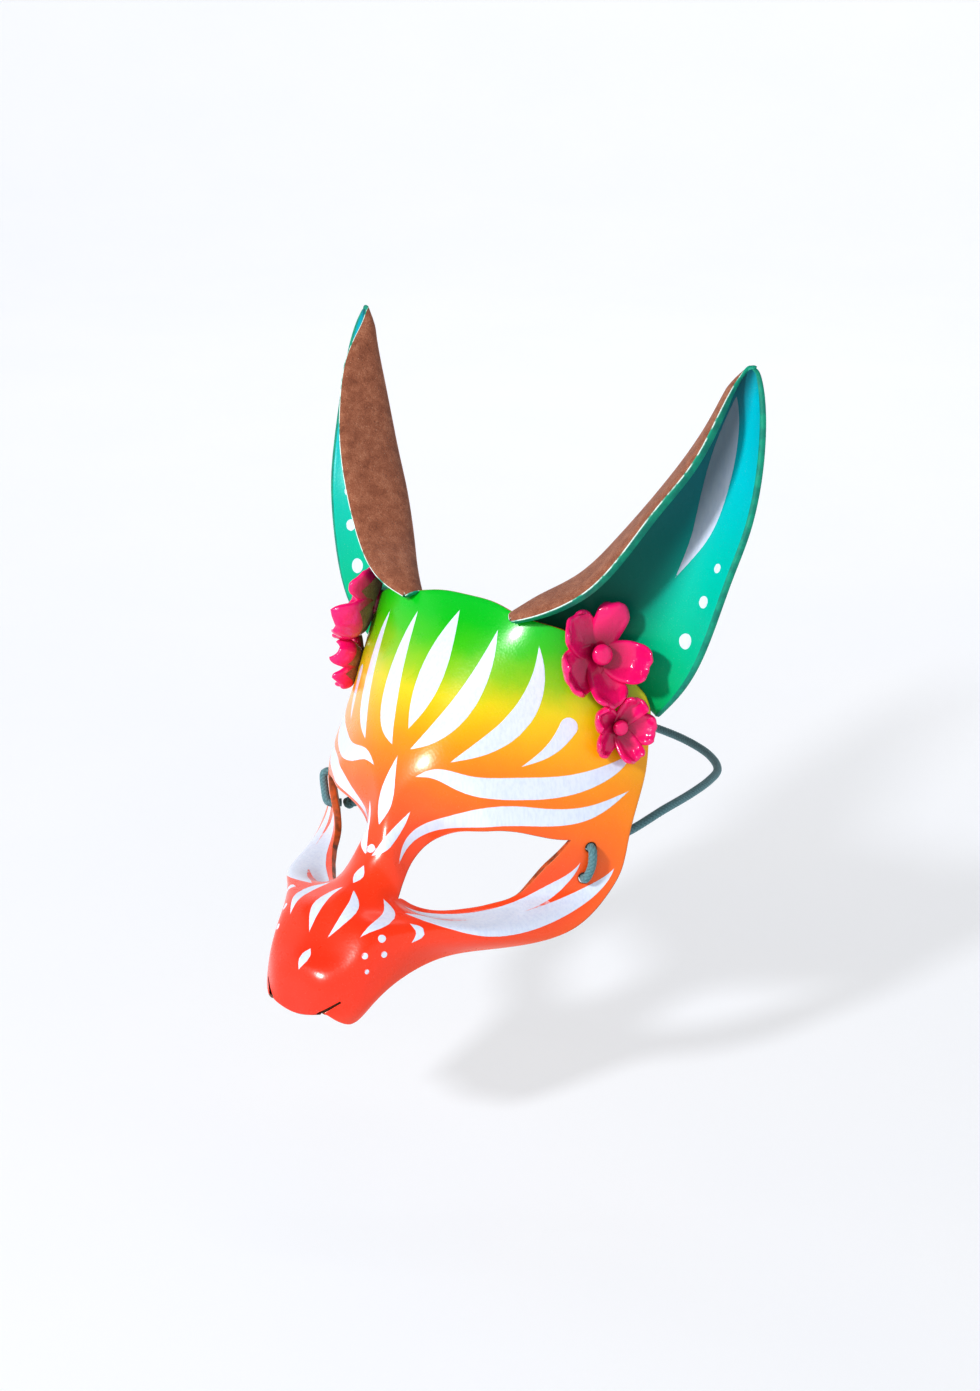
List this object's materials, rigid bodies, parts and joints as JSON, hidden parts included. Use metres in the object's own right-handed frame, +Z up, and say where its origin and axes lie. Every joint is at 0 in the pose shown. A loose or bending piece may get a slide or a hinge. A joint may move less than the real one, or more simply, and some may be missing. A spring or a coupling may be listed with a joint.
{
  "type": "fox mask",
  "caption": "Moulded leather fox mask with open eyes, a short muzzle, tall curled ears, leather flowers and a cord that passes behind the head.",
  "frame": {"origin": "the point of the inner face between the brows, where the mask rests on the head", "axes": "+Z up, the face looks along -Y, +X is the wearer's left"},
  "size_m": [0.215, 0.2319, 0.2452],
  "materials": {
    "face_leather": "lacquered leather, painted in a gradient from green at the top through yellow and orange to red, with white motifs",
    "ear_leather": "painted leather, teal inside and raw brown behind",
    "petal_leather": "painted leather, magenta in front and raw brown behind",
    "button_leather": "painted leather, magenta",
    "cord": "round braided cord, teal grey"
  },
  "bodies": {
    "root": {"mask_face": "face_leather", "ear_left": "ear_leather", "ear_right": "ear_leather", "flower_left_large_petals": "petal_leather", "flower_left_large_button": "button_leather", "flower_left_small_petals": "petal_leather", "flower_left_small_button": "button_leather", "flower_right_large_petals": "petal_leather", "flower_right_large_button": "button_leather", "flower_right_small_petals": "petal_leather", "flower_right_small_button": "button_leather", "head_cord": "cord", "cord_stitch_left": "cord", "cord_knot_left": "cord", "cord_stitch_right": "cord", "cord_knot_right": "cord"}
  },
  "joints": []
}
